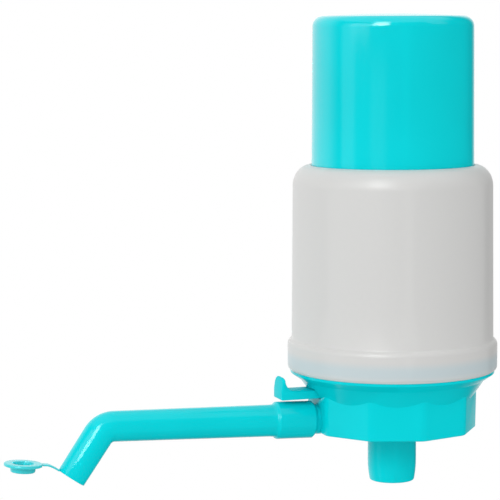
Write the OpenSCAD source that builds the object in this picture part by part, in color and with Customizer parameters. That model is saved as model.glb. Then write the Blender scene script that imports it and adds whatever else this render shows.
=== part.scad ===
// Hand pump for a water jug: a push cap squeezes a bellows, and the air it drives
// into the jug lifts the water through the stem to a swivelling spout.
// The origin is the mouth of the neck socket, on the pump's axis. The spout points along -X.

/* [Neck socket] */
// Bore that grips the neck of the jug
neck_d = 56; // [54:0.5:57]
// Wall of the grip ring
grip_wall = 1.5; // [1.2:0.1:2]
// Height of the grip ring
grip_h = 9.8; // [8:0.1:10]
// Number of slots that make the ring springy
grip_slots = 10; // [6:1:12]
// Thickness of the rubber washer above the ring
gasket_t = 2; // [1.5:0.1:2.5]
// How far the washer reaches inwards over the jug's rim
gasket_lip = 5.8; // [5:0.1:6.4]

/* [Base] */
// Number of flat sides of the collar
collar_sides = 10; // [8:2:12]
// Wall of the collar at the middle of its flats
collar_wall = 4.92; // [4.6:0.02:6]
// Height at which the cone leaves the collar's corners
collar_h = 15.9; // [15.5:0.1:17]
// How far the collar's rim reaches below the grip ring
rim_drop = 0.8; // [0:0.1:2]
// How far the collar's corners are turned down
corner_cut = 0.55; // [0.1:0.05:1]
// Thickness of the floor over the neck
floor_t = 1.9; // [1.6:0.1:2.2]
// Height at which the cone leaves the middle of the flats
cone_foot_z = 13.1; // [12.6:0.1:13.6]
// Height of the cone's upper edge
cone_top_z = 20.8; // [20.2:0.1:21.5]
// How far the flange's rim lies inside the housing's band
flange_inset = 1.1; // [0.6:0.1:2]
// How far the flange stands out from the cone
flange_lip = 4.3; // [3.6:0.1:4.8]
// Thickness of the flange at its rim
flange_rim = 1.1; // [0.8:0.1:1.6]
// Wall of the cone
cone_wall = 2.6; // [2:0.1:3]
// Height of the flange's upper face
flange_z = 24.9; // [24.5:0.1:26]
// Height of the spigot inside the housing's band
spigot_h = 8.2; // [6:0.1:10]
// Wall of that spigot
spigot_wall = 2; // [1.6:0.1:2.4]

/* [Housing] */
// Outer radius of the band at the foot
band_r = 45; // [44.6:0.1:46]
// Wall of the band over the spigot
band_wall = 2.2; // [1.8:0.1:2.4]
// Height of the band
band_h = 13.7; // [12:0.1:16]
// How far the band stands out from the housing's wall
ledge_w = 1.7; // [1.2:0.1:2.4]
// Rounding of the band's upper edge
ledge_round = 2.6; // [1.8:0.1:3]
// Rounding of the band's foot
foot_round = 2.1; // [1:0.1:2.2]
// How much the wall narrows from the band to the shoulder
housing_taper = 0.55; // [0:0.05:0.8]
// Height of the housing above the flange
housing_h = 87.9; // [80:0.1:100]
// Radius of the shoulder's rounding
shoulder_round = 7.6; // [6:0.1:7.8]
// Wall of the housing
housing_wall = 1.7; // [1.4:0.1:2]

/* [Push cap] */
// How far the cap stands in from the housing's wall
cap_inset = 8.05; // [7.9:0.05:9]
// How much the cap narrows towards its top
cap_taper = 0.35; // [0:0.05:0.6]
// Height of the cap above the housing
cap_rise = 64.1; // [58:0.1:75]
// Rounding of the cap's upper edge
cap_round = 4.6; // [3:0.1:6]
// Rise of the domed top
cap_dome = 0.9; // [0.4:0.1:1.5]
// Wall of the cap
cap_wall = 1.7; // [1.4:0.1:2]
// How far the stop flange reaches out under the housing's lip
stop_w = 2.6; // [2:0.1:2.9]
// Thickness of the stop flange
stop_t = 1.8; // [1.4:0.1:2.4]
// Clearance round the cap in the housing's lip
cap_gap = 0.3; // [0.2:0.05:0.5]

/* [Bellows] */
// Room between the folds and the cap's wall
fold_gap = 2.65; // [1.5:0.05:4]
// Depth of the folds
fold_depth = 5.4; // [4:0.1:5.6]
// Number of folds
folds = 14; // [10:1:18]
// Wall of the bellows
bellows_wall = 0.9; // [0.7:0.05:1.2]
// How far the smooth cuffs stand out from the folds' inner radius
cuff_step = 1.4; // [1.2:0.1:2]
// Length of each cuff
cuff_h = 6; // [5:0.1:8]
// Thickness of the seat plate under the bellows
seat_t = 2.4; // [2:0.1:3]

/* [Stem] */
// Outer radius of the stem
stem_r = 10.45; // [10:0.05:11]
// How far the stem reaches below the collar
stem_drop = 23.7; // [18:0.1:30]
// Bore for the dip tube
dip_tube_d = 12.6; // [12:0.1:13.4]
// Depth of the dip tube's socket
dip_socket_l = 26; // [20:0.5:30]
// Rounding of the stem's foot
stem_round = 0.6; // [0.4:0.1:1]
// How much the stem narrows towards its foot
stem_narrow = 0.6; // [0.2:0.1:1]
// Height over which it narrows
stem_narrow_h = 7; // [4:0.5:12]

/* [Water duct] */
// Width of the duct's inside
duct_w = 10.4; // [9:0.1:10.6]
// Height of the duct's inside
duct_h = 2.5; // [2:0.1:2.6]
// Wall of the duct's cover
duct_wall = 1; // [0.9:0.05:1.2]

/* [Spout] */
// Height at which the spout's line crosses the pump's axis
spout_z = 3.9; // [3.5:0.1:4.3]
// Upward tilt of the spout, in degrees
spout_rise = 1.5; // [0:0.1:2]
// Radius of the stub that carries the spout
stub_r = 6.4; // [6.2:0.05:6.5]
// Bore radius of the stub
stub_bore_r = 4.2; // [3.8:0.1:4.4]
// How far the stub reaches into the sleeve
stub_in = 13.7; // [12:0.1:14]
// Gap between the collar and the sleeve
sleeve_gap = 1.78; // [1.2:0.02:3]
// Length of the chamfer at the sleeve's near end
sleeve_chamfer = 1.25; // [0.5:0.05:1.3]
// Length of the sleeve
sleeve_l = 16.5; // [16:0.1:20]
// Outer radius of the sleeve
sleeve_r = 7.93; // [7.7:0.01:8]
// Running clearance between stub and sleeve
swivel_gap = 0.05; // [0.03:0.01:0.1]
// Outer radius of the tube beside the sleeve
tube_r = 6.77; // [6.7:0.01:7]
// Outer radius of the tube at the bend
bend_tube_r = 6.42; // [6.35:0.01:6.5]
// Length of the straight tube from the sleeve to the bend
tube_l = 71.3; // [60:0.1:110]
// Radius of the bend's centre line
bend_r = 8; // [7.2:0.1:10]
// Angle of the bend, in degrees
bend_angle = 57.2; // [45:0.1:65]
// Length of the bent end
leg_l = 20.6; // [18:0.1:40]
// Outer radius of the bent end at its mouth
mouth_r = 6.22; // [6.2:0.01:6.4]
// Bore radius of the spout
spout_bore_r = 5.45; // [5.4:0.01:5.5]

/* [Stopper] */
// Radius of the stopper's flange
stopper_r = 7.95; // [7.5:0.05:8.5]
// Thickness of the stopper's flange
stopper_t = 1.2; // [1:0.1:1.5]
// Depth of the plug
plug_l = 2.4; // [2:0.1:2.6]
// Clearance round the plug in the spout's mouth
plug_gap = 0.1; // [0.1:0.01:0.15]
// Radius of the hollow in the stopper
recess_r = 4.25; // [4:0.05:4.4]
// Distance of the strap's fold from the middle of the mouth
hinge_x = 10.9; // [10.5:0.1:12]
// Angle by which the stopper stands open, in degrees
stopper_open = 149.5; // [140:0.5:155]
// Width of the strap
strap_w = 4; // [3:0.1:5]
// Thickness of the strap
strap_t = 0.8; // [0.6:0.05:1]

/* [Vent lever] */
// Width of the thumb arm
lever_w = 10.8; // [10:0.1:11.2]
// Thickness of the thumb arm
lever_t = 3.6; // [3.2:0.1:3.8]
// How far the lever reaches out from the collar
lever_reach = 17.58; // [16:0.02:19]
// Height of the thumb arm's underside
lever_z = 14.5; // [14.3:0.05:14.8]
// Height of the thumb tab above the arm's underside
tab_h = 9.4; // [8:0.1:11]
// Thickness of the thumb tab
tab_t = 2.6; // [2:0.1:3.2]
// How far the pivot lies inside the collar's flat
pivot_in = 4.52; // [4:0.02:5]
// Height of the pivot
pivot_z = 20.9; // [20.8:0.1:21.2]
// Radius of the pivot pin
pin_r = 1.2; // [1:0.05:1.3]
// Width of the inner arm
arm_w = 8; // [7:0.1:8.4]
// Length of the lever's inner arm, from the pivot to the vent
inner_arm = 11; // [10.6:0.1:11.4]
// Bore radius of the vent
vent_bore_r = 1.2; // [1:0.05:1.4]

/* [Hidden] */
$fn = 96;
eps = 0.01;

// Fits shared by several pieces
fit_gap = 0.1;
pin_gap = 0.05;
pin_seat_gap = 0.01;
seat_gap = 0.05;

// Colours of the object
teal = [0.0, 0.79, 0.81];
milky = [0.84, 0.84, 0.83];
grey = [0.35, 0.37, 0.38];
steel = [0.7, 0.71, 0.72];

// Levels, from the mouth of the neck socket upwards
neck_r = neck_d / 2;
socket_r = neck_r + grip_wall + fit_gap;
gasket_bore = neck_d - 2 * gasket_lip;
floor_z = grip_h + 0.2 + gasket_t;
floor_top = floor_z + floor_t;
seat_top = flange_z + seat_t;
spigot_r = band_r - band_wall - 0.2;
spigot_in_r = spigot_r - spigot_wall;
lip_z = flange_z + housing_h;
cap_top_z = lip_z + cap_rise;

// Radii, from the housing's band inwards
flange_r = band_r - flange_inset;
cone_top_r = flange_r - flange_lip;
housing_low_r = band_r - ledge_w;
housing_top_r = housing_low_r - housing_taper;
cap_low_r = housing_top_r - cap_inset;
cap_top_r = cap_low_r - cap_taper;
stop_r = cap_low_r + stop_w;
fold_out_r = cap_top_r - cap_wall - fold_gap;
fold_in_r = fold_out_r - fold_depth;

// Collar: its flats lie at the apothem, its corners at collar_r
apothem = socket_r + collar_wall;
collar_r = apothem / cos(180 / collar_sides);

// Inside of the base
cavity_low_r = apothem - 2.2;
ledge_r = min(cone_top_r - cone_wall, spigot_in_r - 2);
cone_turn_z = max(floor_top + 0.5, cone_foot_z + 2.8);

// Duct and wall slot
slot_in = socket_r + 0.7;
slot_out = slot_in + 2.2;
duct_top = floor_top + duct_h + duct_wall;
duct_end = slot_out + duct_wall;
duct_out_w = duct_w + 2 * duct_wall;

// Stem
stem_flange_r = stem_r + 2.15;
boss_r = stem_flange_r + 1.8;
boss_drop = 2.5;
seal_wire_r = 0.6;

// Air passage from the seat to the neck
air_x = boss_r + 3.8;
air_r = 3.6;
air_bore_r = 2.8;
air_cup_r = 7.5;
air_cup_h = 5.4;
valve_bulb_r = 1.4;

// Vent
vent_seat_z = duct_top + 0.8;
vent_wall_r = vent_bore_r + 1.1;
plug_disc_t = 1.35;
arm_low = vent_seat_z + seat_gap + plug_disc_t;
arm_top = arm_low + 2.8;
web_in = duct_end + 0.6;
web_out = web_in + 1.4;
lever_end = apothem + lever_reach;
pivot_x = apothem - pivot_in;
vent_x = pivot_x - inner_arm;
ear_gap = 0.3;
ear_t = 1.9;
spring_r = 1.9;
spring_wire_r = 0.3;
spring_turns = 2.25;

// Bellows and its top: the cuffs stand clear of the outlet valve
cuff_r = max(fold_in_r + cuff_step, air_x + valve_bulb_r + 0.4 + 2 * 1.7);
cuff_in_r = cuff_r - 1.7;
cap_inner_z = cap_top_z - cap_dome - cap_wall - 0.6;
lid_top = cap_inner_z - 3.6;
lid_t = 2.2;
bellows_top = lid_top - lid_t - seat_gap;
bellows_low = seat_top + seat_gap;
fold_start = bellows_low + cuff_h;
fold_h = (bellows_top - cuff_h - fold_start) / folds;
ring_h = 4;
ring_t = 1.5;

// Places along the spout's line, from the pump's axis
sleeve_start = apothem + sleeve_gap;
stub_end = sleeve_start + stub_in;
tube_end = sleeve_start + sleeve_l + tube_l;

// Seat of the spout's seal, on the stub
seal_x = stub_end - 5;
groove_half = 0.7;
groove_r = stub_r - 0.95;

// Places along the spout's own line: +Z runs outwards and +X is its upper side
module spout_frame() {
    translate([0, 0, spout_z]) rotate([0, -(90 - spout_rise), 0]) children();
}

// The same for the bent end, from the end of the bend
module leg_frame() {
    spout_frame()
        translate([-bend_r, 0, tube_end]) rotate([0, -bend_angle, 0]) translate([bend_r, 0, 0])
            children();
}

// The stopper's place when open: it swings about the strap's fold
module opened() {
    hinge_z = leg_l + 0.3;
    translate([hinge_x, 0, hinge_z]) rotate([0, stopper_open, 0]) translate([-hinge_x, 0, -hinge_z])
        children();
}

// A ring with square edges, from z0 to z1
module ring(r_out, r_in, z0, z1) {
    translate([0, 0, z0]) difference() {
        cylinder(r = r_out, h = z1 - z0);
        translate([0, 0, -1]) cylinder(r = r_in, h = z1 - z0 + 2);
    }
}

// A square-edged bar between two corners
module bar(low, high) {
    translate(low) cube(high - low);
}

// Umbrella valve: a thin disc under a plate, held by a stem and a bulb above it
module umbrella(disc_r, plate_low, plate_t) {
    stem_w = 0.8;
    translate([0, 0, plate_low - seat_gap - 0.7]) cylinder(r = disc_r, h = 0.7);
    translate([0, 0, plate_low - seat_gap - eps]) cylinder(r = stem_w, h = plate_t + 0.8);
    translate([0, 0, plate_low + plate_t + 0.2]) cylinder(r1 = valve_bulb_r, r2 = 0.9, h = 1.2);
}

// Holes that an umbrella valve covers, with the hole for its stem
module valve_holes(hole_ring_r, hole_r, z0, z1) {
    for (i = [0:5])
        rotate([0, 0, i * 60]) translate([hole_ring_r, 0, z0]) cylinder(r = hole_r, h = z1 - z0, $fn = 24);
    translate([0, 0, z0]) cylinder(r = 0.85, h = z1 - z0, $fn = 24);
}

// Points of an arc, as a list
function arc(cx, cy, r, a0, a1, steps) =
    [for (i = [0:steps]) [cx + r * cos(a0 + (a1 - a0) * i / steps), cy + r * sin(a0 + (a1 - a0) * i / steps)]];

// Outline of the push cap: outer face, or inner face when inset by the wall
module cap_outline(inset) {
    top = cap_top_z - cap_dome - inset;
    side_r = cap_top_r - inset;
    round_r = cap_round - inset;
    edge = side_r - round_r;
    // the dome is a circle through the centre of the top and the start of the rounding
    dome_r = (edge * edge + cap_dome * cap_dome) / (2 * cap_dome);
    stop_top = lip_z - housing_wall - 0.6;
    intersection() {
        union() {
            translate([edge, top - round_r]) circle(r = round_r);
            translate([0, stop_top - stop_t]) square([edge, top - stop_top + stop_t]);
            polygon([[0, stop_top - stop_t], [cap_low_r + 0.02 - inset, stop_top - stop_t],
                     [cap_low_r - inset, lip_z], [side_r, top - round_r], [0, top - round_r]]);
            intersection() {
                translate([0, top + cap_dome - dome_r]) circle(r = dome_r, $fn = 360);
                translate([0, top - round_r]) square([edge, round_r + cap_dome]);
            }
        }
        translate([0, 0]) square([2 * cap_low_r, 2 * cap_top_z]);
    }
}

module push_cap() {
    stop_top = lip_z - housing_wall - 0.6;
    color(teal) {
        rotate_extrude() difference() {
            cap_outline(0);
            cap_outline(cap_wall);
            translate([0, stop_top - stop_t - 1]) square([cap_low_r - cap_wall, stop_t + 2]);
        }
        ring(stop_r, cap_low_r - cap_wall, stop_top - stop_t, stop_top);
        // socket inside the top that holds the lid of the bellows
        ring(cuff_r + 2.2, cuff_r + 0.7, lid_top - lid_t - 2, cap_inner_z + 1.4);
        difference() {
            ring(cuff_r + 1, cuff_r - 1.6, lid_top + seat_gap, cap_inner_z + 1.4);
            // notches that let the air in past the lid
            for (i = [0:3])
                rotate([0, 0, i * 90 + 45]) bar([cuff_r - 6, -3, lid_top], [cuff_r + 4, 3, lid_top + 2]);
        }
    }
}

module bellows_lid() {
    color(milky) difference() {
        union() {
            ring(cuff_r + 0.6, 0, lid_top - lid_t, lid_top);
            ring(cuff_in_r - fit_gap, cuff_in_r - 1.7, lid_top - lid_t - cuff_h + 1, lid_top - lid_t + eps);
        }
        valve_holes(4.2, 1.3, lid_top - lid_t - 1, lid_top + 1);
    }
}

module inlet_valve() {
    color(grey) umbrella(6.8, lid_top - lid_t, lid_t);
}

// One fold goes out and back in; the folds repeat up the bellows
module bellows() {
    outer = [for (i = [0:folds - 1]) each [[fold_in_r + bellows_wall, fold_start + i * fold_h],
                                           [fold_out_r, fold_start + (i + 0.5) * fold_h]]];
    inner = [for (i = [folds - 1:-1:0]) each [[fold_out_r - bellows_wall * 1.4, fold_start + (i + 0.5) * fold_h],
                                              [fold_in_r, fold_start + i * fold_h]]];
    top_fold = fold_start + folds * fold_h;
    color(milky) rotate_extrude() polygon(concat(
        [[cuff_in_r, bellows_low], [cuff_r, bellows_low], [cuff_r, fold_start - 0.6]],
        outer,
        [[fold_in_r + bellows_wall, top_fold], [cuff_r, top_fold + 0.6], [cuff_r, bellows_top],
         [cuff_in_r, bellows_top], [cuff_in_r, top_fold + 0.4], [fold_in_r, top_fold]],
        inner,
        [[cuff_in_r, fold_start - 0.4]]));
}

module bellows_clamp() {
    color(milky) ring(cuff_r + fit_gap + ring_t, cuff_r + fit_gap, seat_top + seat_gap, seat_top + ring_h);
}

// Outline of the housing's outer face, from the foot of the band to the lip
module housing_outline() {
    foot = flange_z + seat_gap;
    ledge_z = flange_z + band_h;
    edge = housing_top_r - shoulder_round;
    difference() {
        union() {
            // the band, with its foot rounded and its upper edge rolled over
            translate([0, foot]) square([band_r - foot_round, foot_round]);
            translate([band_r - foot_round, foot + foot_round]) circle(r = foot_round);
            translate([0, foot + foot_round]) square([band_r, ledge_z - ledge_round - foot - foot_round]);
            translate([band_r - ledge_round, ledge_z - ledge_round]) circle(r = ledge_round);
            translate([0, ledge_z - ledge_round]) square([band_r - ledge_round, ledge_round]);
            // the wall and its shoulder
            polygon([[0, ledge_z - ledge_round], [housing_low_r, ledge_z - ledge_round], [housing_low_r, ledge_z],
                     [housing_top_r, lip_z - shoulder_round], [0, lip_z - shoulder_round]]);
            translate([edge, lip_z - shoulder_round]) circle(r = shoulder_round);
            translate([0, lip_z - shoulder_round]) square([edge, shoulder_round]);
        }
        translate([-50, 0]) square([50, 2 * lip_z]);
    }
}

module housing() {
    ledge_z = flange_z + band_h;
    edge = housing_top_r - shoulder_round;
    inner_round = shoulder_round - housing_wall;
    color(milky) rotate_extrude() difference() {
        housing_outline();
        // room over the base's spigot
        translate([0, 0]) square([spigot_r + 0.2, flange_z + spigot_h + seat_gap]);
        polygon([[0, flange_z], [housing_low_r - housing_wall, flange_z],
                 [housing_low_r - housing_wall, ledge_z], [housing_top_r - housing_wall, lip_z - shoulder_round],
                 [0, lip_z - shoulder_round]]);
        translate([edge, lip_z - shoulder_round]) circle(r = inner_round);
        translate([0, lip_z - shoulder_round - eps]) square([edge, inner_round + eps]);
        // the lip's bore, where the cap slides
        translate([0, lip_z - 10]) square([cap_low_r + cap_gap, 20]);
    }
}

module bellows_seat() {
    color(milky) difference() {
        union() {
            ring(spigot_in_r - fit_gap, 0, flange_z + seat_gap, seat_top);
            ring(cuff_in_r - fit_gap, cuff_in_r - 1.7, seat_top - eps, seat_top + cuff_h);
            // cup and tube that lead the air down to the neck
            translate([air_x, 0, 0]) {
                ring(air_cup_r, 0, flange_z - air_cup_h, flange_z + 1);
                ring(air_r, 0, floor_z - 0.5, flange_z);
            }
        }
        translate([air_x, 0, 0]) {
            translate([0, 0, flange_z - air_cup_h + 1.2]) cylinder(r = air_cup_r - 1.2, h = air_cup_h - 1.2);
            translate([0, 0, floor_z - 2]) cylinder(r = air_bore_r, h = flange_z - floor_z);
            valve_holes(2.8, 0.9, flange_z - 1, seat_top + 1);
        }
    }
}

module outlet_valve() {
    color(grey) translate([air_x, 0, 0]) umbrella(4.6, flange_z + seat_gap, seat_t - seat_gap);
}

// The base without its holes: ten-sided collar, cone, flange and spigot in one moulding
module base_body() {
    translate([0, 0, -rim_drop]) intersection() {
        rotate([0, 0, 180 / collar_sides]) cylinder(r = collar_r, h = collar_h + rim_drop, $fn = collar_sides);
        cylinder(r = collar_r - corner_cut, h = collar_h + rim_drop);
    }
    rotate_extrude() polygon([
        [0, cone_foot_z], [apothem - 0.1, cone_foot_z], [cone_top_r, cone_top_z],
        [flange_r, flange_z - flange_rim], [flange_r, flange_z], [spigot_r, flange_z],
        [spigot_r, flange_z + spigot_h], [0, flange_z + spigot_h]]);
    spout_frame() translate([0, 0, slot_in]) cylinder(r = stub_r, h = stub_end - slot_in);
}

module base() {
    color(teal) difference() {
        union() {
            difference() {
                base_body();
                // room for the works above the floor
                rotate_extrude() polygon([
                    [0, floor_top], [cavity_low_r, floor_top], [cavity_low_r, cone_turn_z],
                    [ledge_r, cone_top_z], [ledge_r, flange_z], [spigot_in_r, flange_z],
                    [spigot_in_r, flange_z + spigot_h + 1], [0, flange_z + spigot_h + 1]]);
                // the neck socket
                translate([0, 0, -10]) cylinder(r = socket_r, h = 10 + floor_z);
            }
            // boss for the stem, and the vent's chimney through the duct
            translate([0, 0, floor_z - boss_drop]) cylinder(r = boss_r, h = boss_drop + floor_t);
            translate([-vent_x, 0, floor_z]) cylinder(r = vent_wall_r, h = vent_seat_z - floor_z);
        }
        // stem, its flange and its seal
        translate([0, 0, floor_z - boss_drop - 1]) cylinder(r = stem_r + fit_gap, h = 20);
        translate([0, 0, floor_top - 1.7]) cylinder(r = stem_flange_r + fit_gap, h = 10);
        ring(stem_r + 0.5 + 2 * seal_wire_r + fit_gap, stem_r, floor_top - 1.7 - 2 * seal_wire_r, floor_top - 1.6);
        // vent and air holes
        translate([-vent_x, 0, floor_z - 1]) cylinder(r = vent_bore_r, h = 20);
        translate([air_x, 0, floor_z - boss_drop - 1]) cylinder(r = air_r + fit_gap, h = 10);
        // water slot in the collar's wall, and the stub's bore
        bar([-slot_out, -duct_w / 2 + 0.2, spout_z - stub_bore_r + 1], [-slot_in, duct_w / 2 - 0.2, floor_top + 1]);
        spout_frame() translate([0, 0, slot_in + 0.4]) cylinder(r = stub_bore_r, h = stub_end);
        spout_frame() ring(stub_r + 1, groove_r, seal_x - groove_half, seal_x + groove_half);
        // seat of the duct's cover, and the lever's way through the wall
        bar([-duct_end - fit_gap, -duct_out_w / 2 - fit_gap, floor_top],
            [-slot_in + 1, duct_out_w / 2 + fit_gap, duct_top + 1]);
        bar([-web_out - 0.5, -arm_w / 2 - 0.4, floor_top], [-slot_in, arm_w / 2 + 0.4, flange_z - 1]);
        bar([-cone_top_r - 5, -lever_w / 2 - 0.3, lever_z - 0.4],
            [-web_in + 0.4, lever_w / 2 + 0.3, lever_z + lever_t + 0.35]);
    }
}

// Flat stadium from the pump's axis to the duct's end
module duct_plan(half_w, end_x) {
    circle(r = half_w);
    translate([-end_x, -half_w]) square([end_x, 2 * half_w]);
}

module water_duct() {
    ear_in = arm_w / 2 + ear_gap;
    ear_low = [-pivot_x - 2.4, ear_in, duct_top - eps];
    color(teal) difference() {
        union() {
            translate([0, 0, floor_top]) linear_extrude(duct_top - floor_top)
                duct_plan(duct_out_w / 2, duct_end);
            // two ears hold the lever's pin
            for (side = [0, 1]) mirror([0, side, 0]) {
                bar(ear_low, [-pivot_x + 2.4, ear_in + ear_t, pivot_z]);
                translate([-pivot_x, ear_in + ear_t, pivot_z]) rotate([90, 0, 0]) cylinder(r = 2.4, h = ear_t);
            }
        }
        translate([0, 0, floor_top - 1]) linear_extrude(duct_h + 1) duct_plan(duct_w / 2, slot_out);
        translate([-vent_x, 0, floor_top]) cylinder(r = vent_wall_r + fit_gap, h = 10);
        translate([-pivot_x, 20, pivot_z]) rotate([90, 0, 0]) cylinder(r = pin_r + pin_seat_gap, h = 40);
    }
}

module stem() {
    flange_low = floor_top - 1.7 + seat_gap;
    bore_r = dip_tube_d / 2;
    foot_r = stem_r - stem_narrow;
    round_z = stem_round - stem_drop;
    color(teal) difference() {
        union() {
            rotate_extrude() difference() {
                union() {
                    polygon([[0, round_z], [foot_r, round_z], [stem_r, stem_narrow_h - stem_drop],
                             [stem_r, floor_top - seat_gap], [0, floor_top - seat_gap]]);
                    translate([0, -stem_drop]) square([foot_r - stem_round, stem_round + 1]);
                    translate([foot_r - stem_round, round_z]) circle(r = stem_round);
                }
                translate([-50, -50]) square([50, 100]);
            }
            ring(stem_flange_r, 0, flange_low, floor_top - seat_gap);
        }
        translate([0, 0, -stem_drop - 1]) cylinder(r = bore_r, h = dip_socket_l + 1);
        translate([0, 0, -stem_drop]) cylinder(r = bore_r - 1.6, h = 60);
        // moulded ring that keeps the wall even
        ring(stem_r - 1.7, bore_r + 1.5, -stem_drop - 1, floor_z - boss_drop - 1);
    }
}

module stem_seal() {
    z = floor_top - 1.7 - seal_wire_r;
    color(grey) rotate_extrude()
        translate([stem_r + 0.5 + seal_wire_r, z]) circle(r = seal_wire_r - 0.03, $fn = 32);
}

module neck_gasket() {
    color(grey) ring(socket_r - fit_gap, gasket_bore / 2, floor_z - gasket_t, floor_z);
}

module neck_grip_ring() {
    slot_w = 1.6;
    color(milky) difference() {
        ring(neck_r + grip_wall, neck_r, 0, grip_h);
        for (i = [0:grip_slots - 1])
            rotate([0, 0, (i + 0.5) * 360 / grip_slots])
                bar([neck_r - 2, -slot_w / 2, -1], [neck_r + 5, slot_w / 2, grip_h - 2]);
    }
}

// Side view of the thumb arm: x is the distance outwards from the pump's axis
module thumb_profile() {
    hollow_r = 4;
    arm_z = lever_z + lever_t;
    difference() {
        translate([web_in, lever_z]) square([lever_end - web_in, tab_h]);
        // the hollow between the arm and the tab
        translate([lever_end - tab_t - hollow_r, arm_z + hollow_r]) circle(r = hollow_r);
        translate([web_in - 1, arm_z]) square([lever_end - tab_t - hollow_r - web_in + 1, tab_h]);
        translate([web_in - 1, arm_z + hollow_r]) square([lever_end - tab_t - web_in + 1, tab_h]);
        // the tab's rounded top
        translate([lever_end - tab_t - 1, lever_z + tab_h - 1.2]) difference() {
            square([tab_t + 2, 3]);
            translate([1 + tab_t / 2, -0.1]) circle(r = tab_t / 2);
        }
    }
}

// Stands an XZ outline upright and gives it a width along Y, with x running towards -X
module upright(width) {
    translate([0, width / 2, 0]) rotate([90, 0, 0]) mirror([1, 0, 0]) linear_extrude(width) children();
}

module vent_lever() {
    color(teal) difference() {
        union() {
            intersection() {
                upright(lever_w) thumb_profile();
                // the tab's upper corners are rounded as seen from its end
                union() {
                    translate([0, 0, lever_z + tab_h - 3.4]) rotate([0, -90, 0])
                        cylinder(r = lever_w / 2, h = 80, $fn = 96);
                    bar([-80, -lever_w, 0], [0, lever_w, lever_z + tab_h - 3.4]);
                }
            }
            bar([-web_out, -arm_w / 2, lever_z], [-web_in, arm_w / 2, arm_top]);
            bar([-web_out, -arm_w / 2, arm_low], [-vent_x + 2.4, arm_w / 2, arm_top]);
            translate([-pivot_x, arm_w / 2, pivot_z]) rotate([90, 0, 0]) cylinder(r = 2.6, h = arm_w);
        }
        translate([-pivot_x, 20, pivot_z]) rotate([90, 0, 0]) cylinder(r = pin_r + pin_gap, h = 40);
        translate([-vent_x, 0, arm_low - 1]) cylinder(r = 0.85, h = 10);
    }
}

module vent_lever_pin() {
    half = arm_w / 2 + ear_gap + ear_t;
    color(steel) translate([-pivot_x, half, pivot_z]) rotate([90, 0, 0]) cylinder(r = pin_r, h = 2 * half);
}

module vent_plug() {
    color(grey) translate([-vent_x, 0, 0]) {
        translate([0, 0, vent_seat_z + seat_gap]) cylinder(r = vent_wall_r - 0.1, h = plug_disc_t);
        translate([0, 0, arm_low - eps]) cylinder(r = 0.8, h = arm_top - arm_low + 0.3);
        translate([0, 0, arm_top + 0.02]) cylinder(r1 = 1.3, r2 = 0.8, h = 0.8);
    }
}

// Points of the spring's coil, and rings of six points round it
spring_low = arm_top + spring_wire_r + 0.05;
spring_high = flange_z - spring_wire_r;
function coil_point(t) = [spring_r * cos(360 * t), spring_r * sin(360 * t),
    spring_low + (spring_high - spring_low) * t / spring_turns];
function coil_ring(t) = [for (a = [0:60:300]) coil_point(t)
    + spring_wire_r * [cos(a) * cos(360 * t), cos(a) * sin(360 * t), sin(a)]];

module vent_spring() {
    steps = 36;
    rings = [for (i = [0:steps]) each coil_ring(spring_turns * i / steps)];
    sides = [for (i = [0:steps - 1], j = [0:5])
        each [[i * 6 + j, (i + 1) * 6 + j, (i + 1) * 6 + (j + 1) % 6],
              [i * 6 + j, (i + 1) * 6 + (j + 1) % 6, i * 6 + (j + 1) % 6]]];
    first = [for (j = [1:4]) [0, j, j + 1]];
    last = [for (j = [1:4]) [steps * 6, steps * 6 + j + 1, steps * 6 + j]];
    color(steel) translate([-vent_x, 0, 0]) polyhedron(points = rings, faces = concat(sides, first, last));
}

module spout() {
    socket_end = stub_end + 1;
    shoulder_l = 2;
    color(teal) difference() {
        union() {
            spout_frame() {
                translate([0, 0, sleeve_start + sleeve_chamfer]) cylinder(r = sleeve_r, h = sleeve_l - sleeve_chamfer);
                translate([0, 0, sleeve_start])
                    cylinder(r1 = stub_r + swivel_gap + 0.2, r2 = sleeve_r, h = sleeve_chamfer);
                translate([0, 0, sleeve_start + sleeve_l]) cylinder(r1 = sleeve_r, r2 = tube_r, h = shoulder_l);
                translate([0, 0, sleeve_start + sleeve_l + 1])
                    cylinder(r1 = tube_r, r2 = bend_tube_r, h = tube_end - sleeve_start - sleeve_l - 1);
                translate([-bend_r, 0, tube_end]) rotate([90, 0, 0])
                    rotate_extrude(angle = bend_angle) translate([bend_r, 0]) circle(r = bend_tube_r);
            }
            leg_frame() {
                cylinder(r1 = bend_tube_r, r2 = mouth_r, h = leg_l);
                translate([0, 0, -0.5]) cylinder(r = bend_tube_r - 0.4, h = 1);
            }
        }
        spout_frame() {
            translate([0, 0, sleeve_start - 1]) cylinder(r = stub_r + swivel_gap, h = socket_end - sleeve_start + 1);
            translate([0, 0, socket_end - 1]) cylinder(r = spout_bore_r, h = tube_end - socket_end + 1);
            translate([-bend_r, 0, tube_end]) rotate([90, 0, 0])
                rotate_extrude(angle = bend_angle) translate([bend_r, 0]) circle(r = spout_bore_r);
        }
        leg_frame() {
            cylinder(r = spout_bore_r, h = leg_l + 1);
            translate([0, 0, -0.5]) cylinder(r = spout_bore_r - 0.3, h = 1);
        }
    }
}

module spout_seal() {
    wire_r = (stub_r - groove_r) / 2 - 0.03;
    color(grey) spout_frame() translate([0, 0, seal_x]) rotate_extrude()
        translate([groove_r + wire_r + 0.02, 0]) circle(r = wire_r, $fn = 32);
}

module spout_stopper() {
    plug_r = spout_bore_r - plug_gap;
    color(teal) leg_frame() opened() difference() {
        union() {
            translate([0, 0, leg_l + seat_gap]) cylinder(r = stopper_r, h = stopper_t);
            translate([0, 0, leg_l - plug_l]) cylinder(r1 = plug_r - 0.25, r2 = plug_r, h = plug_l + seat_gap + eps);
        }
        translate([0, 0, leg_l - plug_l + 0.8]) cylinder(r = recess_r, h = plug_l + stopper_t);
    }
}

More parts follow.
